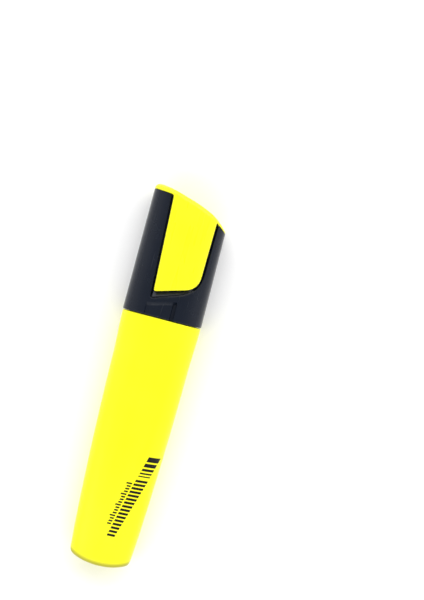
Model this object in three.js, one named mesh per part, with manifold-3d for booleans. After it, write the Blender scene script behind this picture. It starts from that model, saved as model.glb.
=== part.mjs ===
// A pocket highlighter: a flat oval barrel with a chisel nib, and a pull-off cap whose slanted
// roof turns over into a springy clip. It lies on its flat back: +X runs from the rear end of
// the barrel to the roof of the cap, +Y across the pen and +Z up through the clip. Millimetres.
import * as THREE from "three";
import { mergeVertices } from "three/addons/utils/BufferGeometryUtils.js";
import Module from "manifold-3d";

// ---- driving dimensions -------------------------------------------------------------------
const LENGTH = 122; // closed pen, rear end to roof
const MOUTH_X = 80.6; // open end of the barrel, where the cap's rim meets it
const WIDTH = 25.7; // across the cap's rim
const CAP_HALF_THICK = 7.9;
const AXIS_Z = 7.7; // height of the neck, snout, nib and cap cavity over the back

const GAP = 0.3; // clearance kept between neighbouring pieces
const SEAM = 0.25; // line between the barrel's mouth and the cap's rim
const BEYOND = 1; // how far a cutter runs past what it cuts
const CUTTER_HALF_WIDE = 20;
const CUTTER_TOP_Z = 25;

const OVAL_POWER = 2.5; // exponent of the superellipse that every section follows
const OVAL_POINTS = 40;
const BACK_FLAT = 0.97; // share of the half thickness at which the back is cut flat
const TUBE_POINTS = 16;

const NECK_TOP_X = 88;
const SNOUT_BASE_X = 93;
const SNOUT_TIP_X = 101.6;
const NIB_TIP_X = 107.6;

const BLACK = 0x22242c;
const YELLOW = 0xf8fb1c;

const wasm = await Module();
wasm.setup();

// ---- solids -------------------------------------------------------------------------------
function solidOf(geometry) {
  const bare = geometry.clone();
  bare.deleteAttribute("normal");
  bare.deleteAttribute("uv");
  const merged = mergeVertices(bare, 1e-4);
  return new wasm.Manifold(
    new wasm.Mesh({
      numProp: 3,
      vertProperties: merged.attributes.position.array,
      triVerts: new Uint32Array(merged.index.array),
    }),
  );
}

function geometryOf(solid) {
  const mesh = solid.getMesh();
  const geometry = new THREE.BufferGeometry();
  geometry.setAttribute("position", new THREE.BufferAttribute(mesh.vertProperties, 3));
  geometry.setIndex(new THREE.BufferAttribute(mesh.triVerts, 1));
  geometry.computeVertexNormals();
  return geometry;
}

const { clamp, lerp, smoothstep } = THREE.MathUtils;
const superPower = (value) => Math.sign(value) * Math.abs(value) ** (2 / OVAL_POWER);

// The section that every shell shares, one unit in half width and half thickness.
function unitOval(backFlat) {
  const points = [];
  for (let i = 0; i < OVAL_POINTS; i++) {
    const angle = (2 * Math.PI * (i + 0.5)) / OVAL_POINTS;
    const across = superPower(Math.cos(angle));
    const up = superPower(Math.sin(angle));
    points.push(new THREE.Vector2(across, Math.max(up, -backFlat)));
  }
  return new THREE.Shape(points);
}

// A solid through oval stations along X. Each station is { x, wide, thick, z }: its place, its
// half width and half thickness, and the height of its centre. A station's bow moves its sides
// forward, which makes an end face convex in plan.
function ovalLoft(stations, backFlat = 1) {
  const steps = stations.length - 1;
  const geometry = new THREE.ExtrudeGeometry(unitOval(backFlat), {
    depth: 1,
    steps,
    bevelEnabled: false,
  });
  const place = geometry.getAttribute("position");
  for (let i = 0; i < place.count; i++) {
    const { x, wide, thick, z, bow = 0 } = stations[Math.round(place.getZ(i) * steps)];
    const across = place.getX(i);
    const up = place.getY(i);
    place.setXYZ(i, x + bow * across * across, across * wide, z + up * thick);
  }
  return solidOf(geometry);
}

// A straight oval bar or bore along the pen.
function ovalBar(fromX, toX, wide, thick, z = AXIS_Z) {
  return ovalLoft([
    { x: fromX, wide, thick, z },
    { x: toX, wide, thick, z },
  ]);
}

// A round bar or bore along the pen.
function roundBar(radius, fromX, toX, y, z) {
  const length = toX - fromX;
  const geometry = new THREE.CylinderGeometry(radius, radius, length, TUBE_POINTS);
  geometry.rotateZ(-Math.PI / 2).translate(fromX + length / 2, y, z);
  return solidOf(geometry);
}

function box(from, to) {
  const size = from.map((value, i) => to[i] - value);
  const middle = from.map((value, i) => (to[i] + value) / 2);
  return solidOf(new THREE.BoxGeometry(...size).translate(...middle));
}

// A plan outline in X and Y, extruded through the pen's whole thickness.
function planPrism(shape) {
  const geometry = new THREE.ExtrudeGeometry(shape, {
    depth: CUTTER_TOP_Z + BEYOND,
    bevelEnabled: false,
    curveSegments: 8,
  });
  return solidOf(geometry.translate(0, 0, -BEYOND));
}

// A side outline in X and Z, extruded across the pen.
function sidePrism(shape) {
  const geometry = new THREE.ExtrudeGeometry(shape, {
    depth: 2 * CUTTER_HALF_WIDE,
    bevelEnabled: false,
  });
  return solidOf(geometry.rotateX(Math.PI / 2).translate(0, CUTTER_HALF_WIDE, 0));
}

// A box over the front half of the pen, which keeps a cut away from the back.
const frontHalf = (fromX, toX = LENGTH + BEYOND) =>
  box([fromX, -CUTTER_HALF_WIDE, AXIS_Z], [toX, CUTTER_HALF_WIDE, CUTTER_TOP_Z]);

// ---- reservoir ----------------------------------------------------------------------------
const RESERVOIR = { fromX: 5.6, toX: 69.8, wide: 7.3, thick: 4.1, z: 6.15 };
const FILM_WALL = 0.15;
const FILM_GAP = 0.08;
const CORE_SETBACK = 0.2; // the core and the tube end inside the film
const BREATHER = { y: 6.15, radius: 0.75, bore: 0.4, clearance: 0.15 };

function makeReservoirFilm() {
  const { fromX, toX, wide, thick, z } = RESERVOIR;
  const bore = ovalBar(fromX - BEYOND, toX + BEYOND, wide - FILM_WALL, thick - FILM_WALL, z);
  return ovalBar(fromX, toX, wide, thick, z).subtract(bore);
}

// The core is grooved along one side for the breather tube, and its front end takes the nib.
function makeReservoirCore() {
  const { fromX, toX, wide, thick, z } = RESERVOIR;
  const inset = FILM_WALL + FILM_GAP;
  const rod = ovalBar(fromX + CORE_SETBACK, toX - CORE_SETBACK, wide - inset, thick - inset, z);
  const radius = BREATHER.radius + BREATHER.clearance;
  const groove = roundBar(radius, fromX - BEYOND, toX + BEYOND, BREATHER.y, z);
  const grooveMouth = box(
    [fromX - BEYOND, BREATHER.y, z - radius],
    [toX + BEYOND, wide + BEYOND, z + radius],
  );
  const nibSocket = box(
    [NIB.tailX - GAP, -NIB.wide - GAP / 2, AXIS_Z - NIB.thick - GAP / 2],
    [toX + BEYOND, NIB.wide + GAP / 2, AXIS_Z + NIB.thick + GAP / 2],
  );
  return rod.subtract(groove).subtract(grooveMouth).subtract(nibSocket);
}

function makeBreatherTube() {
  const { fromX, toX, z } = RESERVOIR;
  const { y, radius, bore } = BREATHER;
  const tube = roundBar(radius, fromX + CORE_SETBACK, toX - CORE_SETBACK, y, z);
  return tube.subtract(roundBar(bore, fromX - BEYOND, toX + BEYOND, y, z));
}

// ---- barrel -------------------------------------------------------------------------------
const BARREL_BODY_X = [4, 9, 16, 25, 36, 48, 60, 68, 74, MOUTH_X];
const REAR_EDGE = [
  { x: 0, share: 0.84 },
  { x: 0.3, share: 0.92 },
  { x: 0.9, share: 0.97 },
  { x: 1.9, share: 0.995 },
];
const REAR_WIDE = 9.75;
const REAR_THICK = 6.1;
const SWELL_WIDE = 2.6; // growth of the half width from the rear end to the mouth
const SWELL_THICK = 1.5;
const FLARE_X = 66; // from here the barrel flares slightly to meet the cap
const FLARE_WIDE = 0.4;
const FLARE_THICK = 0.2;
const REAR_BOW = 1.8; // how far the rear end face curves out in plan
const REAR_BOW_REACH = 12;
const BARREL_WALL = 1.7;
const CAVITY_REAR_X = 3.4;
const SEAT = { x: 70.2, wide: 11.25, thick: 6.0 }; // the front section is pressed in here
const RIB_THICK = 1;
const RIB_REAR_X = 8;
const SIDE_RIB_REAR_X = 30;
const TOP_RIB_Y = 3.7;

const barrelSwell = (x) => 1 - (1 - x / MOUTH_X) ** 2;
const barrelFlare = (x) => smoothstep(x, FLARE_X, MOUTH_X);
const barrelWide = (x) => REAR_WIDE + SWELL_WIDE * barrelSwell(x) + FLARE_WIDE * barrelFlare(x);
const barrelThick = (x) => REAR_THICK + SWELL_THICK * barrelSwell(x) + FLARE_THICK * barrelFlare(x);

function barrelStation(x, share = 1, wall = 0) {
  const thick = barrelThick(x);
  return {
    x,
    wide: barrelWide(x) * share - wall,
    thick: thick * share - wall,
    z: BACK_FLAT * thick,
    bow: REAR_BOW * clamp(1 - x / REAR_BOW_REACH, 0, 1),
  };
}

// Ribs on the roof and sides of the cavity centre the reservoir, and the front section stops on
// their ends.
function barrelRibs(limit) {
  const reservoirTop = RESERVOIR.z + RESERVOIR.thick + GAP;
  const reservoirSide = RESERVOIR.wide + GAP;
  const low = -RIB_THICK / 2;
  const high = RIB_THICK / 2;
  const ribs = [];
  for (const side of [-1, 1]) {
    const topY = side * TOP_RIB_Y;
    ribs.push(box([RIB_REAR_X, topY + low, reservoirTop], [SEAT.x, topY + high, CUTTER_TOP_Z]));
    const edges = [side * reservoirSide, side * CUTTER_HALF_WIDE].sort((a, b) => a - b);
    ribs.push(
      box([SIDE_RIB_REAR_X, edges[0], RESERVOIR.z + low], [SEAT.x, edges[1], RESERVOIR.z + high]),
    );
  }
  return ribs.map((rib) => rib.intersect(limit));
}

function makeBarrel() {
  const rear = REAR_EDGE.map(({ x, share }) => barrelStation(x, share));
  const body = BARREL_BODY_X.map((x) => barrelStation(x));
  const outside = ovalLoft([...rear, ...body], BACK_FLAT);
  const insideX = [CAVITY_REAR_X, ...BARREL_BODY_X.slice(1, -2), SEAT.x + GAP];
  const inside = (wall) =>
    ovalLoft(
      insideX.map((x) => barrelStation(x, 1, wall)),
      BACK_FLAT,
    );
  const seat = ovalBar(SEAT.x, MOUTH_X + BEYOND, SEAT.wide, SEAT.thick);
  const hull = outside.subtract(inside(BARREL_WALL)).subtract(seat);
  const ribs = barrelRibs(inside(BARREL_WALL / 2));
  return ribs.reduce((whole, rib) => whole.add(rib), hull);
}

// ---- front section and nib ----------------------------------------------------------------
const NECK = { wide: SEAT.wide - GAP, thick: SEAT.thick - GAP };
const SNAP_BEAD = { x: 84.6, height: 0.12 }; // holds the cap on
const SNOUT_BASE = { wide: 6.3, thick: 4.4 };
const SNOUT_TIP = { wide: 4.7, thick: 3.6 };
const SECTION_BORE = { wide: 9.6, thick: 4.4 };
const NIB_STOP_X = SNOUT_TIP_X - 5;
const NIB = { tailX: 66.6, wide: 2.5, thick: 1.7, slant: 3.1, edge: 1.05, corner: 0.5 };

function makeFrontSection() {
  const at = (x, { wide, thick }, grow = 0) => ({
    x,
    wide: wide + grow,
    thick: thick + grow,
    z: AXIS_Z,
  });
  const outside = ovalLoft([
    at(SEAT.x + 0.05, NECK, -0.3),
    at(SEAT.x + 0.7, NECK),
    at(SNAP_BEAD.x - 0.8, NECK),
    at(SNAP_BEAD.x - 0.2, NECK, SNAP_BEAD.height),
    at(SNAP_BEAD.x + 0.2, NECK, SNAP_BEAD.height),
    at(SNAP_BEAD.x + 0.8, NECK),
    at(NECK_TOP_X - 0.8, NECK),
    at(NECK_TOP_X, NECK, -0.6),
    at(SNOUT_BASE_X - 1.2, SNOUT_BASE, 0.4),
    at(SNOUT_BASE_X, SNOUT_BASE),
    at(SNOUT_TIP_X - 0.8, SNOUT_TIP),
    at(SNOUT_TIP_X, SNOUT_TIP, -0.5),
  ]);
  const hollow = ovalLoft([
    at(SEAT.x - BEYOND, SECTION_BORE),
    at(NECK_TOP_X - 2, SECTION_BORE),
    at(SNOUT_BASE_X - 1, SNOUT_BASE, -1.5),
    at(NIB_STOP_X, SNOUT_TIP, -1),
  ]);
  const nibBore = box(
    [SNOUT_BASE_X, -NIB.wide - GAP, AXIS_Z - NIB.thick - GAP],
    [SNOUT_TIP_X + BEYOND, NIB.wide + GAP, AXIS_Z + NIB.thick + GAP],
  );
  return outside.subtract(hollow).subtract(nibBore);
}

// A bar of bonded fibre, cut to a slanted chisel edge in plan and to a wedge from the side.
function makeNib() {
  const { tailX, wide, thick, slant, edge, corner } = NIB;
  const wedgeX = SNOUT_TIP_X + 1.2;
  const plan = new THREE.Shape([
    new THREE.Vector2(tailX, -wide + corner),
    new THREE.Vector2(tailX + 2, -wide),
    new THREE.Vector2(NIB_TIP_X - slant, -wide),
    new THREE.Vector2(NIB_TIP_X - slant + corner, -wide + corner),
    new THREE.Vector2(NIB_TIP_X, wide - corner),
    new THREE.Vector2(NIB_TIP_X - corner, wide),
    new THREE.Vector2(tailX + 2, wide),
    new THREE.Vector2(tailX, wide - corner),
  ]);
  const side = new THREE.Shape([
    new THREE.Vector2(tailX - BEYOND, AXIS_Z - thick),
    new THREE.Vector2(wedgeX, AXIS_Z - thick),
    new THREE.Vector2(NIB_TIP_X + BEYOND, AXIS_Z - edge),
    new THREE.Vector2(NIB_TIP_X + BEYOND, AXIS_Z + edge),
    new THREE.Vector2(wedgeX, AXIS_Z + thick),
    new THREE.Vector2(tailX - BEYOND, AXIS_Z + thick),
  ]);
  return planPrism(plan).intersect(sidePrism(side));
}

// ---- cap forms ----------------------------------------------------------------------------
const RIM_X = MOUTH_X + SEAM;
const RIM_CHAMFER = 0.3;
const CAP_BODY_X = [RIM_X + RIM_CHAMFER, 92, 102, 112, LENGTH + BEYOND];
const CAP_TAPER_WIDE = 0.2; // what each half loses from the rim to the roof
const CAP_TAPER_THICK = 0.4;
const CAVITY_RIM = { wide: 11.3, thick: 6.0 };
const CAVITY_TOP = { wide: 11.1, thick: 5.8 };

const CLIP_TIP_LEFT = { x: 88.3, y: 4.4 };
const CLIP_TIP_RIGHT = { x: 92.1, y: -8.9 };
const CLIP_LEFT_LEAN = 0.046; // how fast each edge moves outwards along the clip
const CLIP_RIGHT_LEAN = 0.02;
const CLIP_LEFT_ROUND = 1;
const CLIP_RIGHT_ROUND = 4;
const CLIP_ROOT_X = 112.6; // the clip starts to bend away from the roof here
const CLIP_PROUD = 1.1; // height of the clip's outer face over the cap's front face
const CLIP_SUNK = 0.1; // depth of its inner face under that face
const RECESS_DEPTH = 0.9;
const RECESS_CLEARANCE = 0.8; // between the clip's edges and the recess wall
const RECESS_TIP_CLEARANCE = 2.4; // room for a fingernail under the clip's tip
// A shallow hollow between the recess and the rim. Its upper edge is slanted like the tip.
const CHANNEL = { leftY: 5.7, rightY: -3.8, topX: 86, topSlope: -0.267, depth: 0.35 };

const capShare = (x) => (x - RIM_X) / (LENGTH - RIM_X);
const capThick = (x) => CAP_HALF_THICK - CAP_TAPER_THICK * capShare(x);

// The cap's outer form, grown by an offset so that the clip and its recess follow it.
function capStation(x, offset) {
  return {
    x,
    wide: WIDTH / 2 - CAP_TAPER_WIDE * capShare(x) + offset,
    thick: capThick(x) + offset,
    z: BACK_FLAT * capThick(x),
  };
}

const capForm = (offset, backFlat = 1) =>
  ovalLoft(
    CAP_BODY_X.map((x) => capStation(x, offset)),
    backFlat,
  );

function cavityStation(x, inset = 0) {
  const share = capShare(x);
  return {
    x,
    wide: lerp(CAVITY_RIM.wide, CAVITY_TOP.wide, share) - inset,
    thick: lerp(CAVITY_RIM.thick, CAVITY_TOP.thick, share) - inset,
    z: AXIS_Z,
  };
}

const cavityForm = (fromX, inset) =>
  ovalLoft([cavityStation(fromX, inset), cavityStation(LENGTH + BEYOND, inset)]);

// Where the black shell ends under the roof, and where the roof ends, for each place across.
// The roof falls away faster towards its low side, and its high corner is rounded.
const shellTopX = (y) => 121.08 - 3 * Math.exp(-y / 11.2);

function roofTopX(y) {
  const slope = 119.52 + 0.26 * y - 0.19 * Math.exp(-y / 4.1);
  const cornerRadius = 3;
  const pastCorner = clamp(y + cornerRadius - capStation(LENGTH, 0).wide, 0, cornerRadius);
  return slope - cornerRadius + Math.sqrt(cornerRadius ** 2 - pastCorner ** 2);
}

// Everything on the rim's side of a line across the cap.
function belowLine(lineX, shift = 0) {
  const reach = 13;
  const fromX = MOUTH_X - 20;
  const shape = new THREE.Shape();
  shape.moveTo(fromX, -reach);
  for (let y = -reach; y <= reach; y += 1) {
    shape.lineTo(lineX(y) + shift, y);
  }
  shape.lineTo(fromX, reach);
  return planPrism(shape);
}

// The clip's plan, or its recess when the grow values are over zero. The left edge leans,
// the tip is slanted, and the tip's right corner is a wide curve.
function clipPlan(fromX, grow = 0, tipGrow = 0) {
  const left = (x) => CLIP_TIP_LEFT.y + (x - CLIP_TIP_LEFT.x) * CLIP_LEFT_LEAN + grow;
  const right = (x) => CLIP_TIP_RIGHT.y - (x - CLIP_TIP_RIGHT.x) * CLIP_RIGHT_LEAN - grow;
  const leftX = CLIP_TIP_LEFT.x - tipGrow;
  const rightX = CLIP_TIP_RIGHT.x - tipGrow;
  const tip = (share) => [
    lerp(leftX, rightX, share),
    lerp(left(leftX), right(rightX), share),
  ];
  const roundedLeftX = leftX + CLIP_LEFT_ROUND;
  const roundedRightX = rightX + CLIP_RIGHT_ROUND;
  const shape = new THREE.Shape();
  shape.moveTo(fromX, left(fromX));
  shape.lineTo(roundedLeftX, left(roundedLeftX));
  shape.quadraticCurveTo(leftX, left(leftX), ...tip(0.08));
  shape.lineTo(...tip(0.7));
  shape.quadraticCurveTo(rightX, right(rightX), roundedRightX, right(roundedRightX));
  shape.lineTo(fromX, right(fromX));
  return planPrism(shape);
}

// The sheet that the clip and its root are cut from, curved like the cap's front face.
const clipSheet = (fromX, toX) =>
  capForm(CLIP_PROUD).subtract(capForm(-CLIP_SUNK)).intersect(frontHalf(fromX, toX));

// ---- cap pieces ---------------------------------------------------------------------------
const EARS = { x: 109.2, thick: 1.1, wide: 10.8 }; // flange of the inner cap
const INNER_CAP = { mouthX: 92.6, topX: 114.1, wide: 7.3, thick: 5.45, wall: 0.8 };
const INNER_CAP_STEP = 1.2; // the cup narrows by this above its ears
const CAP_RIB = { rearX: 97, innerY: 9.8, thick: 1.2 };
const ROOF_SKIRT_X = EARS.x + EARS.thick + 0.4;
const ROOF_SKIRT_WALL = 1;
const CLIP_BEAD = { x: 91.5, y: -0.6, radius: 1, length: 1.1, width: 3, height: 0.6 };

// A rib on each side of the shell's cavity carries the ears of the inner cap.
function capRibs() {
  const limit = cavityForm(CAP_RIB.rearX, -2 * GAP);
  const low = AXIS_Z - CAP_RIB.thick / 2;
  const high = AXIS_Z + CAP_RIB.thick / 2;
  const pair = [
    box([CAP_RIB.rearX, CAP_RIB.innerY, low], [EARS.x, CUTTER_HALF_WIDE, high]),
    box([CAP_RIB.rearX, -CUTTER_HALF_WIDE, low], [EARS.x, -CAP_RIB.innerY, high]),
  ];
  return pair.map((rib) => rib.intersect(limit));
}

// The cutter for the hollow between the recess and the rim.
function channelCutter() {
  const topX = (y) => CHANNEL.topX + CHANNEL.topSlope * y;
  const shape = new THREE.Shape();
  shape.moveTo(RIM_X - BEYOND, CHANNEL.rightY);
  shape.lineTo(topX(CHANNEL.rightY), CHANNEL.rightY);
  shape.lineTo(topX(CHANNEL.leftY), CHANNEL.leftY);
  shape.lineTo(RIM_X - BEYOND, CHANNEL.leftY);
  const floor = ovalLoft([
    capStation(RIM_X - 2 * BEYOND, -CHANNEL.depth),
    capStation(LENGTH, -CHANNEL.depth),
  ]);
  return planPrism(shape).subtract(floor).intersect(frontHalf(MOUTH_X));
}

function makeCapShell() {
  const rim = capStation(RIM_X, -RIM_CHAMFER / 2);
  const body = CAP_BODY_X.map((x) => capStation(x, 0));
  const outside = ovalLoft([rim, ...body], BACK_FLAT);
  const cavity = cavityForm(RIM_X - BEYOND, 0);
  const recess = clipPlan(LENGTH + BEYOND, RECESS_CLEARANCE, RECESS_TIP_CLEARANCE)
    .subtract(capForm(-RECESS_DEPTH))
    .intersect(frontHalf(MOUTH_X));
  const shell = outside
    .subtract(cavity)
    .intersect(belowLine(shellTopX))
    .subtract(recess)
    .subtract(channelCutter());
  return capRibs().reduce((whole, rib) => whole.add(rib), shell);
}

// A cup that closes over the snout and keeps the nib from drying out.
function makeInnerCap() {
  const { mouthX, topX, wide, thick, wall } = INNER_CAP;
  const at = (x, inset) => ({ x, wide: wide - inset, thick: thick - inset, z: AXIS_Z });
  const cup = ovalLoft([
    at(mouthX, 0),
    at(EARS.x, 0.1),
    at(EARS.x + EARS.thick, INNER_CAP_STEP + 0.1),
    at(topX - 0.7, INNER_CAP_STEP + 0.15),
    at(topX, INNER_CAP_STEP + 0.8),
  ]);
  const inside = ovalLoft([
    at(mouthX - BEYOND, wall - 0.15),
    at(mouthX + 1.2, wall),
    at(EARS.x - 0.6, wall + 0.1),
    at(EARS.x + 0.6, wall + INNER_CAP_STEP + 0.1),
    at(topX - wall, wall + INNER_CAP_STEP + 0.2),
  ]);
  const ears = ovalBar(EARS.x + 0.05, EARS.x + EARS.thick, EARS.wide, thick - 0.1);
  return cup.add(ears).subtract(inside);
}

// The roof closes the top of the cap. Its skirt plugs into the shell, and its front edge stands
// proud where the clip hangs from it.
function makeCapRoof() {
  const top = belowLine(roofTopX);
  const underside = belowLine(shellTopX, GAP);
  const slab = capForm(0, BACK_FLAT).intersect(top).subtract(underside);
  const skirtHollow = cavityForm(ROOF_SKIRT_X - BEYOND, 0.2 + ROOF_SKIRT_WALL);
  const skirt = cavityForm(ROOF_SKIRT_X, 0.2).intersect(top);
  const root = clipPlan(LENGTH + BEYOND)
    .intersect(clipSheet(CLIP_ROOT_X + GAP, LENGTH + BEYOND))
    .intersect(top);
  return slab.add(skirt).subtract(skirtHollow.intersect(underside)).add(root);
}

// The springy tongue of the clip, with a bead under its tip that grips the cloth.
function makeClip() {
  const tongue = clipPlan(CLIP_ROOT_X).intersect(clipSheet(MOUTH_X, LENGTH));
  const { x, y, radius, length, width, height } = CLIP_BEAD;
  const innerFaceZ = (1 + BACK_FLAT) * capThick(x) - CLIP_SUNK;
  const bead = new THREE.SphereGeometry(radius, TUBE_POINTS, 10);
  bead.scale(length, width, height).translate(x, y, innerFaceZ + CLIP_SUNK);
  return tongue.add(solidOf(bead));
}

// ---- assembly -----------------------------------------------------------------------------
const pen = new THREE.Group();
pen.position.set(-LENGTH / 2, 0, 0);

function addPiece(name, solid, color, roughness) {
  const material = new THREE.MeshStandardMaterial({ color, roughness, metalness: 0 });
  const mesh = new THREE.Mesh(geometryOf(solid), material);
  mesh.name = name;
  pen.add(mesh);
}

addPiece("barrel", makeBarrel(), YELLOW, 0.35);
addPiece("reservoir_film", makeReservoirFilm(), 0xe8eef0, 0.15);
addPiece("reservoir_core", makeReservoirCore(), 0xe9f23a, 0.95);
addPiece("breather_tube", makeBreatherTube(), 0xdfe4e2, 0.3);
addPiece("front_section", makeFrontSection(), BLACK, 0.4);
addPiece("nib", makeNib(), 0xe4f000, 0.95);
addPiece("cap_shell", makeCapShell(), BLACK, 0.2);
addPiece("inner_cap", makeInnerCap(), 0xe6e8e4, 0.45);
addPiece("cap_roof", makeCapRoof(), YELLOW, 0.3);
addPiece("cap_clip", makeClip(), YELLOW, 0.3);

const model = new THREE.Group();
model.add(pen);
export default model;
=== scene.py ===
"""The looks of a flat oval highlighter with a pull-off cap, built around its CAD frame."""

import math
from itertools import pairwise

import bmesh
import bpy
import numpy as np
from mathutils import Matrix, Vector
from mathutils.geometry import delaunay_2d_cdt


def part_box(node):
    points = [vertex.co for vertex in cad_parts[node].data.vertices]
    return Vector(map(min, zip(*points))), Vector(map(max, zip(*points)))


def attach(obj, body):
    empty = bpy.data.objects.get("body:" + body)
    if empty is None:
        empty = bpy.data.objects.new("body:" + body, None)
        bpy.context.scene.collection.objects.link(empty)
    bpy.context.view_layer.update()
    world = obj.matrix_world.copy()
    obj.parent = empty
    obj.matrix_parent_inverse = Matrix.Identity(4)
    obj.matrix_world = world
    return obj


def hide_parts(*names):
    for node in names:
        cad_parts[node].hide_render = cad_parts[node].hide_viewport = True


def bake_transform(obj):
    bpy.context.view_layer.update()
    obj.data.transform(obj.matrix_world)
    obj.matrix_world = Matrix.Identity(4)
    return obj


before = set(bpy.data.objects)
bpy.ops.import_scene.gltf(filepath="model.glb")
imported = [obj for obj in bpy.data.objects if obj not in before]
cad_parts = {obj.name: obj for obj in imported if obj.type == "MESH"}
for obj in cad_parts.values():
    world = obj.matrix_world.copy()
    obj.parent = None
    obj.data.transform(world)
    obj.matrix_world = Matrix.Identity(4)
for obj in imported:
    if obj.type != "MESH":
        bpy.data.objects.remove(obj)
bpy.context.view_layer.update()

# Shapes are worked out in millimetres, in the row frame, and turned into metres at the end.
MM = 1000.0


def box_mm(node):
    """The lowest and highest corner of a CAD node."""
    low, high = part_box(node)
    return [value * MM for value in low], [value * MM for value in high]


BARREL_LOW, BARREL_HIGH = box_mm("barrel")
SECTION_LOW, SECTION_HIGH = box_mm("front_section")
NIB_LOW, NIB_HIGH = box_mm("nib")
SHELL_LOW, _ = box_mm("cap_shell")
CUP_LOW, CUP_HIGH = box_mm("inner_cap")
CLIP_LOW, _ = box_mm("cap_clip")

REAR_X = BARREL_LOW[0]
MOUTH_X = BARREL_HIGH[0]
RIM_X = SHELL_LOW[0]
ROOF_X = -REAR_X
CLIP_TIP_X = CLIP_LOW[0]
AXIS_Z = (NIB_LOW[2] + NIB_HIGH[2]) / 2

POWER = 2.5  # exponent of the superellipse that every section follows
BACK_FLAT = 0.97  # share of the half thickness at which the back is flat
WELD = 2e-6  # metres
TINY = 1e-6  # millimetres or radians within which two places are the same
LEAST_AREA = 1e-6  # square millimetres; smaller triangles only join points in a line
SHARP_ANGLE = math.radians(38)
MEET_STEPS = 8  # rounds of the search for where a line crosses a form


# ---- small helpers ----
def lerp(a, b, share):
    return a + (b - a) * share


def clamp(value, low=0.0, high=1.0):
    return max(low, min(high, value))


def smoothstep(value, low, high):
    """0 below low, 1 above high, and smooth between; low may be the larger one."""
    share = clamp((value - low) / (high - low))
    return share * share * (3 - 2 * share)


def spread(low, high, count):
    """count values from low to high, both included."""
    return [lerp(low, high, i / (count - 1)) for i in range(count)]


def quarter(steps):
    """Sine and 1 - cosine of angles from 0 to 90 degrees, for fillets."""
    angles = spread(0, math.pi / 2, steps + 1)
    return [(math.sin(angle), 1 - math.cos(angle)) for angle in angles]


# ---- sections ----
def super_power(value):
    return math.copysign(abs(value) ** (2 / POWER), value)


def share_across(angle):
    return super_power(math.cos(angle))


def angle_of_share(share):
    """The angle on the front face whose point lies at this share of the half width."""
    return math.acos(math.copysign(abs(share) ** (POWER / 2), share))


class Form:
    """A superellipse section that changes along X. wide, thick and centre are functions of x."""

    def __init__(self, wide, thick, centre, back_flat=1.0):
        self.wide = wide
        self.thick = thick
        self.centre = centre
        self.back_flat = back_flat

    def point(self, x, angle, grow=0.0):
        up = max(super_power(math.sin(angle)), -self.back_flat)
        y = (self.wide(x) + grow) * share_across(angle)
        return (x, y, self.centre(x) + (self.thick(x) + grow) * up)

    def front(self, x, y, grow=0.0):
        """Height of the front face over a plan point."""
        share = clamp(abs(y) / (self.wide(x) + grow))
        up = (1 - share**POWER) ** (1 / POWER)
        return self.centre(x) + (self.thick(x) + grow) * up

    def ring(self, x, angles, grow=0.0):
        return [self.point(x, angle, grow) for angle in angles]


def between(x0, value0, x1, value1):
    """A straight-line function through two values."""
    return lambda x: lerp(value0, value1, (x - x0) / (x1 - x0))


def even_angles(count):
    return [2 * math.pi * i / count for i in range(count)]


# ---- surfaces ----
def skin(rows, closed=True):
    """Four-sided faces between neighbouring rows of points."""
    faces = []
    for low, high in pairwise(rows):
        last = len(low) if closed else len(low) - 1
        for i in range(last):
            j = (i + 1) % len(low)
            faces.append([low[i], low[j], high[j], high[i]])
    return faces


def fan(ring, middle):
    """Triangles from a ring to a point."""
    following = ring[1:] + ring[:1]
    return [[a, b, middle] for a, b in zip(ring, following)]


def inside(points, loop):
    """Which flat points lie inside a closed outline."""
    x, y = points[:, 0], points[:, 1]
    odd = np.zeros(len(points), bool)
    for (x0, y0), (x1, y1) in zip(loop, np.roll(loop, -1, axis=0)):
        if y0 != y1:
            crosses = (y0 > y) != (y1 > y)
            odd ^= crosses & (x < x0 + (y - y0) * (x1 - x0) / (y1 - y0))
    return odd


def within(points, outlines):
    """Which flat points lie inside the first outline and outside the others."""
    found = inside(points, outlines[0])
    for hole in outlines[1:]:
        found &= ~inside(points, hole)
    return found


def triangle_area(a, b, c):
    return abs((b - a).cross(c - a)) / 2


def patch(loops, flat, grid, place, clear=0.3):
    """Triangles over the first loop, less the others. Loops hold 3-D points, flat flattens one,
    grid holds flat points to use where they keep clear of the loops, and place lifts those."""
    outlines = [np.array([flat(p) for p in loop]) for loop in loops]
    edge_points = np.concatenate(outlines)
    grid = np.array(grid)
    grid = grid[within(grid, outlines)]
    away = [np.hypot(*(edge_points - p).T).min() > clear for p in grid]
    grid = grid[away]
    edges = []
    start = 0
    for outline in outlines:
        count = len(outline)
        edges += [(start + i, start + (i + 1) % count) for i in range(count)]
        start += count
    flat_points = [Vector(p) for p in np.concatenate([edge_points, grid])]
    found, _, faces, origins, _, _ = delaunay_2d_cdt(flat_points, edges, [], 0, TINY)
    solid = [point for loop in loops for point in loop]
    solid += [place(*p) for p in grid]
    lifted = [solid[origin[0]] for origin in origins]
    centres = np.array([np.mean([found[i] for i in face], axis=0) for face in faces])
    kept = within(centres, outlines)
    kept &= [triangle_area(*(found[i] for i in face)) > LEAST_AREA for face in faces]
    return [[lifted[i] for i in face] for face, keep in zip(faces, kept) if keep]


def plan(point):
    return point[:2]


def end_on(point):
    return point[1:]


def curve(start, bend, end, steps):
    """Points from start to end along a curve that leans towards a bend."""
    return [
        (1 - t) ** 2 * start + 2 * t * (1 - t) * bend + t * t * end
        for t in spread(0, 1, steps + 1)
    ]


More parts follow.
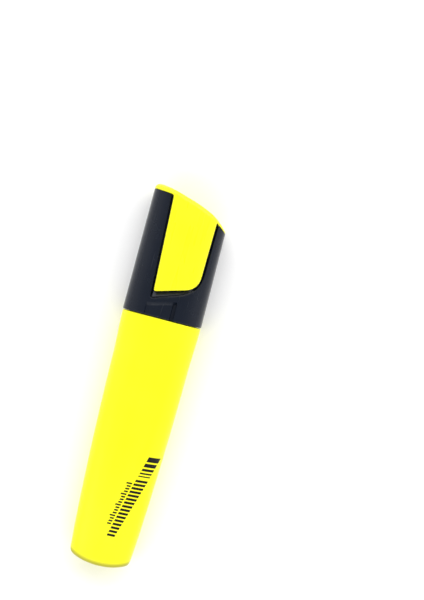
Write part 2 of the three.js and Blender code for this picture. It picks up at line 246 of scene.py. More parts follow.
def rounded_path(corners, spacing=0.4, curve_steps=10):
    """A dense path through corners (x, y, cut before, cut after), rounded over those cuts."""
    path = []
    for i, (x, y, before, after) in enumerate(corners):
        here = np.array((x, y))
        if before == 0:
            path.append(here)
        else:
            back = np.array(corners[i - 1][:2]) - here
            ahead = np.array(corners[i + 1][:2]) - here
            start = here + back / np.linalg.norm(back) * before
            end = here + ahead / np.linalg.norm(ahead) * after
            path += curve(start, here, end, curve_steps)
    fillet_shade = [path[0]]
    for start, end in pairwise(path):
        pieces = max(1, round(np.linalg.norm(end - start) / spacing))
        fillet_shade += [lerp(start, end, (k + 1) / pieces) for k in range(pieces)]
    return fillet_shade


def left_normals(path):
    """Unit normals to the left of the way along an open path."""
    ways = [path[1] - path[0]]
    ways += [after - before for before, after in zip(path, path[2:])]
    ways += [path[-1] - path[-2]]
    return [np.array((-way[1], way[0])) / np.linalg.norm(way) for way in ways]


# ---- pieces ----
def add_object(name, data):
    obj = bpy.data.objects.new(name, data)
    bpy.context.scene.collection.objects.link(obj)
    return obj


def link_mesh(name, shape):
    """A mesh object in the scene from a bmesh, which it frees."""
    mesh = bpy.data.meshes.new(name)
    shape.to_mesh(mesh)
    shape.free()
    return add_object(name, mesh)


def finish_mesh(obj, material):
    """Gives a piece its material and shading."""
    obj.data.materials.append(material)
    obj.data.shade_smooth()
    obj.data.set_sharp_from_angle(angle=SHARP_ANGLE)
    weighted = obj.modifiers.new("weighted_normals", "WEIGHTED_NORMAL")
    weighted.keep_sharp = True
    weighted.weight = 90


def make_object(name, faces, material):
    """A mesh object from loose faces in millimetres, welded into one skin."""
    shape = bmesh.new()
    for face in faces:
        shape.faces.new([shape.verts.new(Vector(point) / MM) for point in face])
    bmesh.ops.remove_doubles(shape, verts=shape.verts, dist=WELD)
    bmesh.ops.dissolve_degenerate(shape, edges=shape.edges, dist=WELD / 2)
    bmesh.ops.recalc_face_normals(shape, faces=shape.faces)
    obj = link_mesh(name, shape)
    finish_mesh(obj, material)
    return obj


def add_piece(name, faces, material, slot, body, *nodes):
    """A piece that rides on a body and may replace CAD nodes."""
    obj = make_object(name, faces, material)
    if nodes:
        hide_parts(*nodes)
    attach(obj, body)


# ---- materials ----
BARREL_DEEP, BARREL_BRIGHT = (0.78, 0.755, 0.004), (0.84, 0.82, 0.009)
INSERT_DEEP, INSERT_BRIGHT = (0.78, 0.745, 0.006), (0.83, 0.805, 0.013)
# olive painted shade for the barrel's rear fillet
PAINTED_SHADE_OLIVE = (0.36, 0.34, 0.012)
CAP_DEEP, CAP_BRIGHT = (0.003, 0.006, 0.013), (0.006, 0.009, 0.018)
SCRATCH_GREY, DUST_GREY = (0.05, 0.052, 0.06), (0.2, 0.2, 0.2)
SECTION_DEEP, SECTION_BRIGHT = (0.008, 0.009, 0.012), (0.018, 0.019, 0.023)
INK_STAIN, MILKY_STAIN = (0.55, 0.62, 0.01), (0.80, 0.86, 0.10)
MILKY_DEEP, MILKY_BRIGHT = (0.70, 0.72, 0.67), (0.84, 0.85, 0.81)
NIB_DEEP, NIB_BRIGHT = (0.55, 0.62, 0.0), (0.86, 0.93, 0.02)
CORE_DEEP, CORE_BRIGHT = (0.62, 0.66, 0.02), (0.88, 0.92, 0.12)
FILM_DEEP, FILM_BRIGHT = (0.80, 0.84, 0.70), (0.92, 0.94, 0.86)
INK_BLACK, INK_THIN = (0.003, 0.003, 0.003), (0.20, 0.19, 0.01)
FLOOR_DEEP, FLOOR_BRIGHT = (0.88, 0.88, 0.88), (0.90, 0.90, 0.90)
PAINTED_GLOW_YELLOW = (1.0, 0.93, 0.0, 1.0)
PAINTED_GLOW_FIBRE = (0.9, 1.0, 0.0, 1.0)
NOISE_RANGE = (0.3, 0.7)
STAIN_FROM, STAIN_TO = 0.036, 0.0415  # the ink stain grows between these places along X, metres
FILLET_SHADE_RISE = (2.0, 0.8)  # painted shade: an olive tint on the rear fillet grows between these distances from the rear end
FILLET_SHADE_FALL = (0.02, 0.12)  # and is gone again at the rear face


class Material:
    """A node material with short calls for its nodes."""

    def __init__(self, name):
        self.material = bpy.data.materials.new(name)
        self.material.use_nodes = True
        self.nodes = self.material.node_tree.nodes
        self.links = self.material.node_tree.links
        self.shader = self.nodes["Principled BSDF"]
        self.place = self.nodes.new("ShaderNodeTexCoord").outputs["Object"]

    def feed(self, socket, value):
        """Links an output to a socket, or sets the socket to a value."""
        if isinstance(value, bpy.types.NodeSocket):
            self.links.new(value, socket)
        else:
            socket.default_value = value

    def add(self, kind, **inputs):
        node = self.nodes.new("ShaderNode" + kind)
        for name, value in inputs.items():
            self.feed(node.inputs[name.replace("_", " ")], value)
        return node

    def set(self, **values):
        for name, value in values.items():
            self.feed(self.shader.inputs[name.replace("_", " ")], value)

    def stretched(self, scale):
        return self.add("Mapping", Scale=scale, Vector=self.place).outputs["Vector"]

    def noise(self, scale, detail=3.0, place=None):
        node = self.add("TexNoise", Scale=scale, Detail=detail, Vector=place or self.place)
        return node.outputs["Fac"]

    def specks(self, scale, size):
        """1 inside small scattered dots and 0 elsewhere."""
        node = self.add("TexVoronoi", Scale=scale, Vector=self.place)
        return self.remap(node.outputs["Distance"], size, size * 0.6, 0.0, 1.0)

    def remap(self, value, low, high, to_low, to_high):
        limits = {"From_Min": low, "From_Max": high, "To_Min": to_low, "To_Max": to_high}
        return self.add("MapRange", **limits, Value=value).outputs["Result"]

    def coordinate(self, axis):
        """A coordinate of the object, in metres."""
        return self.add("SeparateXYZ", Vector=self.place).outputs[axis]

    def math(self, operation, a, b):
        node = self.add("Math")
        node.operation = operation
        self.feed(node.inputs[0], a)
        self.feed(node.inputs[1], b)
        return node.outputs["Value"]

    def mix(self, share, a, b):
        """A colour between a and b; each is a colour or a colour output."""
        node = self.add("Mix", Factor=share)
        node.data_type = "RGBA"
        for socket, value in ((node.inputs[6], a), (node.inputs[7], b)):
            self.feed(socket, (*value, 1.0) if isinstance(value, tuple) else value)
        return node.outputs[2]

    def colour(self, output):
        self.set(Base_Color=output)

    def over_noise(self, noise, low, high):
        """Values from low to high over the usual range of a noise."""
        return self.remap(noise, *NOISE_RANGE, low, high)

    def rough_over(self, noise, low, high):
        self.set(Roughness=self.over_noise(noise, low, high))

    def bump(self, height, distance, strength=1.0):
        """Adds a layer of relief, in metres, over any that are already there."""
        node = self.add("Bump", Strength=strength, Distance=distance, Height=height)
        normal = self.shader.inputs["Normal"]
        if normal.is_linked:
            self.links.new(normal.links[0].from_socket, node.inputs["Normal"])
        self.links.new(node.outputs["Normal"], normal)


def yellow_plastic(name, deep, bright, rough_low, rough_high):
    """Fluorescent moulded plastic: slightly uneven dye, flow marks along it, fine relief and a
    faint painted glow.
    """
    made = Material(name)
    dye = made.remap(made.noise(55, 4), 0.35, 0.65, 0, 1)
    tone = made.mix(dye, deep, bright)
    made.colour(tone)
    flow = made.noise(260, 3, made.stretched((0.12, 1, 1)))
    made.rough_over(flow, rough_low, rough_high)
    made.bump(made.noise(2600, 2), 2.5e-6)
    made.bump(flow, 4e-6, 0.5)
    made.set(Specular_IOR_Level=0.3)
    # painted glow: a weak constant emission brightens the yellow beyond what the lights give
    made.set(Emission_Color=PAINTED_GLOW_YELLOW, Emission_Strength=0.06)
    return made, tone


def barrel_yellow():
    """The barrel's plastic, with olive painted shade along the fillet of its rear edge."""
    made, tone = yellow_plastic("barrel_yellow", BARREL_DEEP, BARREL_BRIGHT, 0.30, 0.44)
    y = made.coordinate("Y")
    bow = made.math("MULTIPLY", made.math("MULTIPLY", y, y), REAR_BOW * MM / REAR_WIDE**2)
    from_rear = made.math("SUBTRACT", made.coordinate("X"), bow)
    rising, falling = [
        made.remap(from_rear, (REAR_X + low) / MM, (REAR_X + high) / MM, 0, 1)
        for low, high in (FILLET_SHADE_RISE, FILLET_SHADE_FALL)
    ]
    # painted shade: the rear fillet's colour is darkened to olive, gone again on the rear face
    fillet_shade = made.math("MULTIPLY", rising, falling)
    made.colour(made.mix(fillet_shade, tone, PAINTED_SHADE_OLIVE))
    return made.material


def insert_yellow():
    """The roof and clip are a little warmer and glossier than the barrel."""
    made, _ = yellow_plastic("insert_yellow", INSERT_DEEP, INSERT_BRIGHT, 0.24, 0.36)
    return made.material


def black_gloss():
    """Polished blue-black cap plastic with hairline scratches and a little dust."""
    made = Material("cap_black_gloss")
    hairs = made.noise(2200, 2, made.stretched((0.05, 1, 1)))
    scratches = made.remap(hairs, 0.66, 0.74, 0, 1)
    dust = made.specks(420, 0.05)
    tone = made.mix(made.noise(90, 3), CAP_DEEP, CAP_BRIGHT)
    worn = made.mix(made.math("MULTIPLY", scratches, 0.1), tone, SCRATCH_GREY)
    made.colour(made.mix(made.math("MULTIPLY", dust, 0.25), worn, DUST_GREY))
    cloud = made.over_noise(made.noise(140, 4), 0.2, 0.29)
    made.set(Roughness=made.math("ADD", cloud, made.math("MULTIPLY", scratches, 0.12)))
    made.bump(made.noise(1700, 2), 2e-6)
    made.set(Specular_IOR_Level=0.28)
    return made.material


def black_texture():
    """Spark-eroded black plastic, stained by ink near the nib."""
    made = Material("section_black")
    grain = made.noise(3200, 3)
    near_nib = made.remap(made.coordinate("X"), STAIN_FROM, STAIN_TO, 0, 1)
    stain_edge = made.math("ADD", near_nib, made.noise(420, 4))
    stain = made.remap(stain_edge, 1.15, 1.5, 0, 0.4)
    tone = made.mix(grain, SECTION_DEEP, SECTION_BRIGHT)
    made.colour(made.mix(stain, tone, INK_STAIN))
    made.rough_over(grain, 0.38, 0.58)
    made.bump(grain, 1.2e-5)
    made.set(Specular_IOR_Level=0.3)
    return made.material


def milky_plastic(name):
    """Unpigmented polyethylene, a little cloudy, with traces of ink."""
    made = Material(name)
    cloud = made.noise(180, 4)
    tone = made.mix(cloud, MILKY_DEEP, MILKY_BRIGHT)
    traces = made.remap(made.noise(95, 5), 0.56, 0.72, 0, 0.55)
    made.colour(made.mix(traces, tone, MILKY_STAIN))
    made.rough_over(cloud, 0.34, 0.5)
    made.bump(made.noise(1500, 3), 6e-6)
    made.set(Subsurface_Weight=0.1, Subsurface_Scale=0.001)
    return made.material


def bonded_fibre(name, dark, light, stretch):
    """Fibres that run along the pen, wet with ink, with a faint painted glow."""
    made = Material(name)
    fibres = made.noise(2400, 5, made.stretched((stretch, 1, 1)))
    clumps = made.noise(420, 3)
    made.colour(made.mix(made.over_noise(fibres, 0, 1), dark, light))
    made.rough_over(clumps, 0.62, 0.92)
    made.bump(fibres, 5e-5)
    made.bump(clumps, 4e-5, 0.6)
    # painted glow: a weak constant emission brightens the fibre beyond what the lights give
    made.set(Emission_Color=PAINTED_GLOW_FIBRE, Emission_Strength=0.08)
    return made.material


def clear_film():
    """Thin clear wrapping film with faint wrinkles."""
    made = Material("film_clear")
    wrinkles = made.noise(300, 5, made.stretched((0.3, 1, 1)))
    made.colour(made.mix(wrinkles, FILM_DEEP, FILM_BRIGHT))
    made.rough_over(wrinkles, 0.1, 0.3)
    made.bump(wrinkles, 6e-5)
    made.set(Alpha=0.5)
    return made.material


def print_ink():
    """Black pad-printed ink, thin in places."""
    made = Material("print_black")
    thin = made.remap(made.noise(2100, 4), 0.62, 0.78, 0, 0.35)
    made.colour(made.mix(thin, INK_BLACK, INK_THIN))
    made.rough_over(made.noise(800, 3), 0.32, 0.48)
    made.bump(made.noise(2500, 2), 3e-6)
    made.set(Specular_IOR_Level=0.25)
    return made.material


def floor_paper():
    """A plain pale sheet with a very faint tooth. Far from the object, where the lights fade,
    it glows a little, so that it meets the background without a grey band."""
    made = Material("floor_pale")
    x, y = made.coordinate("X"), made.coordinate("Y")
    far = made.math("ADD", made.math("MULTIPLY", x, x), made.math("MULTIPLY", y, y))
    glow = made.remap(far, FLOOR_NEAR**2, FLOOR_FAR**2, 0, FLOOR_GLOW)
    made.set(Emission_Strength=glow, Emission_Color=(1.0, 1.0, 1.0, 1.0))
    tooth = made.noise(900, 3)
    made.colour(made.mix(tooth, FLOOR_DEEP, FLOOR_BRIGHT))
    made.rough_over(tooth, 0.75, 0.9)
    made.set(Specular_IOR_Level=0.15)
    return made.material


# ---- barrel ----
REAR_WIDE = 9.75
REAR_THICK = 6.1
SWELL_WIDE = 2.6
SWELL_THICK = 1.5
FLARE_LENGTH = 14.6  # the barrel flares slightly over this length to meet the cap
FLARE_WIDE = 0.4
FLARE_THICK = 0.2
REAR_BOW = 1.8  # how far the rear face curves out in plan
REAR_BOW_REACH = 12
REAR_FILLET = 1.8
REAR_CORNER = 0.6  # the fillet is tighter at the sides
GATE_RADIUS = 1.5  # round gate mark in the middle of the rear face
GATE_DEPTH = 0.2
MOUTH_FILLET = 0.25
SEAT_WIDE = 11.25
SEAT_THICK = 6.0
SEAT_DEPTH = MOUTH_X - SECTION_LOW[0]
BARREL_WALL = 1.7
BARREL_FLOOR = 3.4  # thickness of the closed rear end
BARREL_ANGLES = 144
BARREL_ROWS = 64
FILLET_MARGIN = 1.2  # from the rear fillet to the next row
PARTING_RIDGE = 0.04  # height of the mould's parting line on both sides
PARTING_REACH = 0.02  # sine of the angle that the line covers to each side
FACE_SHARES = (0.95, 0.88, 0.8, 0.7, 0.6, 0.5, 0.4, 0.3)  # rings over the rear face
GATE_PROFILE = ((1.0, 0.0), (0.93, 0.5), (0.86, 1.0), (0.5, 1.0))  # shares of radius and depth


def barrel_share(x):
    return (x - REAR_X) / (MOUTH_X - REAR_X)


def barrel_size(rear, swell, flare):
    def size(x):
        swollen = swell * (1 - (1 - barrel_share(x)) ** 2)
        return rear + swollen + flare * smoothstep(x, MOUTH_X - FLARE_LENGTH, MOUTH_X)

    return size


BARREL_THICK = barrel_size(REAR_THICK, SWELL_THICK, FLARE_THICK)
BARREL = Form(
    barrel_size(REAR_WIDE, SWELL_WIDE, FLARE_WIDE),
    BARREL_THICK,
    lambda x: BACK_FLAT * BARREL_THICK(x),
    BACK_FLAT,
)
SEAT = Form(lambda x: SEAT_WIDE, lambda x: SEAT_THICK, lambda x: AXIS_Z)


def bowed(point):
    """Moves the sides of the rear end forward, so that its face is convex in plan."""
    x, y, z = point
    reach = clamp(1 - (x - REAR_X) / REAR_BOW_REACH)
    share = y / REAR_WIDE
    return (x + REAR_BOW * reach * share * share, y, z)


def barrel_ring(x, angles, grow=0.0):
    """A ring of the barrel's outside, with the parting line on its sides."""
    ring = []
    for angle in angles:
        ridge = PARTING_RIDGE * clamp(1 - abs(math.sin(angle)) / PARTING_REACH)
        ring.append(bowed(BARREL.point(x, angle, grow + ridge)))
    return ring


def rear_ring(x, angles, inset):
    """A ring of the rear fillet, bent in by a share of its radii."""
    wide = BARREL.wide(x)
    side = (wide - REAR_CORNER * inset) / (wide - REAR_FILLET * inset)
    ring = BARREL.ring(x, angles, -REAR_FILLET * inset)
    return [bowed((x, y * side, z)) for x, y, z in ring]


def rear_face(edge_ring, angles):
    """Rings over the rear face inside an edge ring, with the gate mark in its middle."""
    middle_z = BARREL.centre(REAR_X)
    rings = []
    for share in FACE_SHARES:
        ring = [(REAR_X, y * share, lerp(middle_z, z, share)) for _, y, z in edge_ring]
        rings.append([bowed(point) for point in ring])
    for radius, depth in GATE_PROFILE:
        reach = GATE_RADIUS * radius
        x = REAR_X + GATE_DEPTH * depth
        rings.append([(x, reach * math.cos(a), middle_z + reach * math.sin(a)) for a in angles])
    return rings, (REAR_X + GATE_DEPTH, 0, middle_z)


def barrel_faces():
    """The closed rear end, the outside, the mouth's lip, the section's seat and the cavity."""
    angles = even_angles(BARREL_ANGLES)
    fillet = [
        rear_ring(REAR_X + REAR_FILLET * (1 - rise), angles, inset) for rise, inset in quarter(8)
    ]
    face_rings, middle = rear_face(fillet[-1], angles)
    body = [
        barrel_ring(x, angles)
        for x in spread(MOUTH_X - MOUTH_FILLET, REAR_X + REAR_FILLET + FILLET_MARGIN, BARREL_ROWS)
    ]
    lip = [
        BARREL.ring(MOUTH_X - MOUTH_FILLET * (1 - rise), angles, -MOUTH_FILLET * inset)
        for rise, inset in reversed(quarter(4))
    ]
    seat = [
        SEAT.ring(MOUTH_X - SEAT_DEPTH, angles),
        SEAT.ring(MOUTH_X - MOUTH_FILLET, angles),
        SEAT.ring(MOUTH_X, angles, MOUTH_FILLET),
    ]
    cavity_x = spread(REAR_X + BARREL_FLOOR, MOUTH_X - SEAT_DEPTH, 12)
    cavity = [
        [bowed(BARREL.point(x, angle, -BARREL_WALL)) for angle in angles] for x in cavity_x
    ]
    cavity_end = (cavity_x[0], 0, BARREL.centre(cavity_x[0]))
    rings = [*cavity, *seat, *lip, *body[1:], *fillet, *face_rings]
    return skin(rings) + fan(rings[-1], middle) + fan(rings[0], cavity_end)


# ---- printed marks ----
PRINT_LIFT = 0.03
PRINT_GRID = (0.6, 0.4)  # steps along and across the pen between points inside a mark
PRINT_START = (REAR_X + 38.2, -9.3)  # corner of the print nearest the cap
PRINT_TURN = math.radians(15)  # the print slants across the barrel
BAR_HEIGHT = 3.5
BAR_WIDTHS = (1.7, 1.25, 0.85, 0.55, 0.4)
BAR_SPACE = 0.55
STROKE_COUNT = 16  # slanted strokes that shrink along the print
STROKE_STEP = 1.3
STROKE_WIDTH = 0.78
STROKE_HEIGHTS = (3.6, 2.4)
TICK_COUNT = 16  # a row of small ticks beside the strokes
TICK_START = 10.6
TICK_STEP = 0.95
TICK_WIDTH = 0.52
TICK_HEIGHTS = (1.7, 1.2)  # every fourth tick is the tall one
TICK_LEAD = 0.5  # space between the strokes and the ticks
TICK_DRIFT = 0.03  # the row of ticks closes in on the strokes by this at each tick
PRINT_LEAN = 0.3
PRINT_CORNER = 0.35


def print_place(u, v):
    """Plan point of a place u along the print, towards the rear end, and v across it."""
    along = np.array((-math.cos(PRINT_TURN), math.sin(PRINT_TURN)))
    across = np.array((math.sin(PRINT_TURN), math.cos(PRINT_TURN)))
    return np.array(PRINT_START) + u * along + v * across


def print_bar(u, width, low, high):
    """Corners of a slanted bar of the print between two edges."""
    lean = PRINT_LEAN * (high - low)
    return [(u, low), (u + width, low), (u + width + lean, high), (u + lean, high)]


def print_outlines():
    """Generic marks: bars that narrow, strokes that shrink, and a row of ticks beside them."""
    outlines = []
    u = 0.0
    for width in BAR_WIDTHS:
        outlines.append(print_bar(u, width, -BAR_HEIGHT / 2, BAR_HEIGHT / 2))
        u += width + BAR_SPACE
    for k in range(STROKE_COUNT):
        height = lerp(*STROKE_HEIGHTS, k / (STROKE_COUNT - 1))
        start = u + BAR_SPACE + k * STROKE_STEP
        outlines.append(print_bar(start, STROKE_WIDTH, -height / 2, height / 2))
    for k in range(TICK_COUNT):
        low = BAR_HEIGHT / 2 + TICK_LEAD - TICK_DRIFT * k
        height = TICK_HEIGHTS[0] if k % 4 == 0 else TICK_HEIGHTS[1]
        outlines.append(print_bar(TICK_START + k * TICK_STEP, TICK_WIDTH, low, low + height))
    return outlines


def print_faces():
    """The marks as thin skins just over the barrel's front face."""

    def place(x, y):
        return (x, y, BARREL.front(x, y) + PRINT_LIFT)

    faces = []
    for outline in print_outlines():
        corners = [(*print_place(u, v), 0, 0) for u, v in outline]
        loop = [place(*p) for p in rounded_path([*corners, corners[0]], PRINT_CORNER)[:-1]]
        xs, ys, _ = zip(*loop)
        grid = [
            (x, y)
            for x in np.arange(min(xs), max(xs), PRINT_GRID[0])
            for y in np.arange(min(ys), max(ys), PRINT_GRID[1])
        ]
        faces += patch([loop], plan, grid, place, clear=0.2)
    return faces


# ---- front section and nib ----
def oval_rings(stations, angles):
    """Rings from stations (x, half width, half thickness)."""
    return [
        [
            (x, wide * share_across(a), AXIS_Z + thick * super_power(math.sin(a)))
            for a in angles
        ]
        for x, wide, thick in stations
    ]


def smooth_stations(stations, steps=4, cut=0.35):
    """Stations with corners rounded over a share of the way to their neighbours."""
    points = [np.array(station) for station in stations]
    smooth = [points[0]]
    for before, here, after in zip(points, points[1:], points[2:]):
        smooth += curve(lerp(here, before, cut), here, lerp(here, after, cut), steps)
    return [*smooth, points[-1]]


SNOUT_TIP_X = SECTION_HIGH[0]
SHOULDER_X = SNOUT_TIP_X - 13.6
SNOUT_X = SNOUT_TIP_X - 8.6
BEAD_X = MOUTH_X + 4  # middle of the bead that holds the cap
BEAD_HEIGHT = 0.14
NECK_GAP = 0.3
NECK_WIDE = SEAT_WIDE - NECK_GAP
NECK_THICK = SEAT_THICK - NECK_GAP
SOCKET_DEPTH = 5
SOCKET_MOUTH = 0.25
SOCKET_GAP = 0.12
SOCKET_FLARE = 0.3
OVAL_ANGLES = 112
NIB_WIDE = NIB_HIGH[1]
NIB_THICK = NIB_HIGH[2] - AXIS_Z
NIB_SLANT = 3.1
NIB_EDGE = 0.95
NIB_WEDGE_X = SNOUT_TIP_X + 1.2
NIB_ROUND = 0.35
NIB_TAIL_SHARE = 0.8
NIB_TAIL_LENGTH = 2
BOX_POWER = 0.22  # exponent that makes a section nearly a rectangle
FLAT_ANGLE = 0.01  # faces at less than this angle, in radians, become one


def front_section_faces():
    """Plug, neck with its bead, shoulder and snout, and the nib's socket."""
    angles = even_angles(OVAL_ANGLES)
    profile = [
        (SECTION_LOW[0], NECK_WIDE - 0.4, NECK_THICK - 0.4),
        (SECTION_LOW[0] + 0.8, NECK_WIDE, NECK_THICK),
        (MOUTH_X + 0.4, NECK_WIDE, NECK_THICK),
        (BEAD_X - 0.7, NECK_WIDE, NECK_THICK),
        (BEAD_X - 0.3, NECK_WIDE + BEAD_HEIGHT, NECK_THICK + BEAD_HEIGHT),
        (BEAD_X + 0.3, NECK_WIDE + BEAD_HEIGHT, NECK_THICK + BEAD_HEIGHT),
        (BEAD_X + 0.7, NECK_WIDE, NECK_THICK),
        (SHOULDER_X - 0.9, NECK_WIDE, NECK_THICK),
        (SHOULDER_X, NECK_WIDE - 0.8, NECK_THICK - 0.6),
        (SNOUT_X - 1.4, 7.1, 4.75),
        (SNOUT_X - 0.6, 6.35, 4.42),
        (SNOUT_X + 0.4, 6.2, 4.36),
        (SNOUT_TIP_X - 1.0, 4.72, 3.62),
        (SNOUT_TIP_X, 4.35, 3.3),
        (SNOUT_TIP_X, NIB_WIDE + 0.9, NIB_THICK + 0.8),
    ]
    rings = oval_rings(smooth_stations(profile), angles)
    rings += [
        socket_ring(SNOUT_TIP_X, angles, SOCKET_FLARE),
        socket_ring(SNOUT_TIP_X - SOCKET_MOUTH, angles, SOCKET_GAP),
        socket_ring(SNOUT_TIP_X - SOCKET_DEPTH, angles, SOCKET_GAP),
    ]
    deep = (SNOUT_TIP_X - SOCKET_DEPTH, 0, AXIS_Z)
    return skin(rings) + fan(rings[-1], deep) + fan(rings[0], (SECTION_LOW[0], 0, AXIS_Z))


def box_share(value):
    """Like super_power, but for a section that is nearly a rectangle."""
    return math.copysign(abs(value) ** BOX_POWER, value)


def socket_ring(x, angles, gap):
    """A ring round the nib, at a gap from it."""
    return [
        (
            x,
            (NIB_WIDE + gap) * box_share(math.cos(a)),
            AXIS_Z + (NIB_THICK + gap) * box_share(math.sin(a)),
        )
        for a in angles
    ]


def make_nib(material):
    """A convex bar with a slanted chisel edge, rounded along its edges."""
    tail_x = NIB_LOW[0]
    tip_x = NIB_HIGH[0]
    corners = []
    for side in (-1, 1):
        for face in (-1, 1):
            tip = tip_x if side > 0 else tip_x - NIB_SLANT
            edge = lerp(NIB_THICK, NIB_EDGE, (tip - NIB_WEDGE_X) / (tip_x - NIB_WEDGE_X))
            y = side * NIB_WIDE
            tail_z = AXIS_Z + face * NIB_THICK * NIB_TAIL_SHARE
            corners.append((tail_x, y * NIB_TAIL_SHARE, tail_z))
            corners.append((tail_x + NIB_TAIL_LENGTH, y, AXIS_Z + face * NIB_THICK))
            corners.append((NIB_WEDGE_X, y, AXIS_Z + face * NIB_THICK))
            corners.append((tip, y, AXIS_Z + face * edge))
    shape = bmesh.new()
    points = [shape.verts.new(Vector(corner) / MM) for corner in corners]
    bmesh.ops.convex_hull(shape, input=points)
    bmesh.ops.dissolve_limit(shape, angle_limit=FLAT_ANGLE, verts=shape.verts, edges=shape.edges)
    obj = link_mesh("nib_fibre", shape)
    rounding = obj.modifiers.new("rounding", "BEVEL")
    rounding.width = NIB_ROUND / MM
    rounding.segments = 4
    rounding.limit_method = "ANGLE"
    finish_mesh(obj, material)
    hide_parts("nib")
    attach(obj, "pen_body")


# ---- cap forms ----
CAP_WIDE_RIM = 12.85
CAP_WIDE_TOP = 12.65
CAP_THICK_RIM = 7.9
CAP_THICK_TOP = 7.5
CAP_THICK = between(RIM_X, CAP_THICK_RIM, ROOF_X, CAP_THICK_TOP)
CAP = Form(
    between(RIM_X, CAP_WIDE_RIM, ROOF_X, CAP_WIDE_TOP),
    CAP_THICK,
    lambda x: BACK_FLAT * CAP_THICK(x),
    BACK_FLAT,
)
CAVITY_WIDE = (11.3, 11.1)  # at the rim and at the roof
CAVITY_THICK = (6.0, 5.8)
CAVITY = Form(
    between(RIM_X, CAVITY_WIDE[0], ROOF_X, CAVITY_WIDE[1]),
    between(RIM_X, CAVITY_THICK[0], ROOF_X, CAVITY_THICK[1]),
    lambda x: AXIS_Z,
)
CAP_ANGLES = 144
SEAM_ANGLE = math.radians(30)  # the front face is the stretch between two such angles
ROW_STEP = 0.8
LINE_MARGIN = 0.15  # points on a line across the cap keep this far from its ends
END_GRID_Y = (-12, 12.5, 1.2)  # from, to and step of the points over the cap's end
END_GRID_Z = (0.6, 16, 1.2)

RIM_FILLET = 0.3
RIM_BEVEL = 0.25
SHELL_TOP = (0.92, 3.0, 11.2)  # below the roof's top; sag and its reach across the cap
CHANNEL_TOP = (5.15, -0.267)  # height over the rim and slope across the cap

CLIP_TIP_LEFT = 4.4  # the clip's edges at its tip, in Y
CLIP_TIP_RIGHT = -8.9
CLIP_TIP_SLANT = 3.8  # how much farther up the cap the tip's right corner is
CLIP_LEFT_LEAN = 0.046  # how fast each edge moves outwards along the clip
CLIP_RIGHT_LEAN = 0.02
CLIP_LEFT_ROUND = 0.9
CLIP_RIGHT_ROUND = 4.1
ROOT_LEFT = (0.9, 0.75, 0.9)  # room kept for the clip's inner corner, and the cuts that round it
ROOT_RIGHT = (0.5, 0.4, 0.35)
CLIP_PROUD = 1.1
CLIP_THICK = 1.2
CLIP_EDGE = 0.4
CLIP_UNDER_EDGE = 0.2  # radius of its edge on the inner side
CLIP_LEFT_FADE = (5.9, 11.0)  # its height over the shell fades out between these, in Y
CLIP_RIGHT_FADE = (9.0, 11.0)
BAND_EDGE = 0.15
BAND_EDGE_SHARE = 0.12  # the band's edge radius is at most this share of its thickness
RECESS_DEPTH = 0.9
RECESS_GAP = 0.75
RECESS_EDGE = 0.16
RECESS_TIP_GAP = 2.5  # room for a fingernail under the clip's tip
RECESS_TIP_SLANT = 4.9  # how much farther up the cap its right corner is
RECESS_TIP_INSET = 0.1
RECESS_LEFT_ROUND = 1.1
RECESS_RIGHT_ROUND = 6.5
LEDGE_DEPTH = 0.12  # the recess's floor rises to this depth under the tip
GROOVE_WIDTH = 0.45  # dark line round the ledge
GROOVE_DEPTH = 0.45
GROOVE_END = (CLIP_TIP_X + 2, CLIP_TIP_X + 8)  # the groove fades out between these
GROOVE_PROFILE = (  # shares of the groove's width and depth, from the recess wall inwards
    (0.03, 0.9),
    (0.1, 1.0),
    (0.6, 1.0),
    (0.8, 0.9),
    (1.0, 0.15),
    (1.15, 0.0),
)
ROOF_GAP = 0.12
ROOF_LEAST = 0.35
ROOF_SLANT = (2.48, 0.26)  # height lost at the middle of the cap, and slope across it
ROOF_SAG = (0.19, 4.1)  # extra loss towards the low corner, and its reach
CHANNEL_LEFT = 5.7 / CAP_WIDE_RIM  # edges of the channel, as shares of the half width
CHANNEL_RIGHT = -3.8 / CAP_WIDE_RIM
CHANNEL_WALL = 0.016  # width of its side walls, as a share too
CHANNEL_TOP_WALL = 0.8
CHANNEL_DEPTH = 0.35
SLOT_LEFT = -2.5 / CAP_WIDE_RIM  # the channel is deeper between this and its right edge
SLOT_DEPTH = 0.9


def shell_top(y):
    """Where the black shell ends under the roof."""
    drop, sag, reach = SHELL_TOP
    return ROOF_X - drop - sag * math.exp(-y / reach)


def roof_low(y):
    return shell_top(y) + ROOF_GAP


def roof_top(y):
    """The roof's slant, before its edge is rounded. Its low corner stays thick enough to mould."""
    slant = ROOF_X - ROOF_SLANT[0] + ROOF_SLANT[1] * y - ROOF_SAG[0] * math.exp(-y / ROOF_SAG[1])
    return max(slant, roof_low(y) + ROOF_LEAST)


def clip_corners(root, grow=0.0):
    """Corners of the clip's plan, or of the recess when grow is over zero."""

    def left(x):
        return CLIP_TIP_LEFT + (x - CLIP_TIP_X) * CLIP_LEFT_LEAN + grow

    def right(x):
        return CLIP_TIP_RIGHT - (x - CLIP_TIP_X - CLIP_TIP_SLANT) * CLIP_RIGHT_LEAN - grow

    left_x = CLIP_TIP_X - grow
    right_x = CLIP_TIP_X + CLIP_TIP_SLANT - grow
    left_root = root(left(ROOF_X))
    right_root = root(right(ROOF_X))
    return [
        (left_root, left(left_root)),
        (left_x, left(left_x)),
        (right_x, right(right_x)),
        (right_root, right(right_root)),
    ]


def front_angles(extra=()):
    """Angles over the front face, from its left seam to its right one."""
    step = 2 * math.pi / CAP_ANGLES
    count = round((math.pi - 2 * SEAM_ANGLE) / step)
    even = [SEAM_ANGLE + step * i for i in range(count + 1)]
    return sorted([*even, *extra])


def back_angles():
    """Angles from the right seam round the back to the left seam, both included."""
    step = 2 * math.pi / CAP_ANGLES
    count = round((math.pi + 2 * SEAM_ANGLE) / step)
    return [math.pi - SEAM_ANGLE + step * i for i in range(count + 1)]


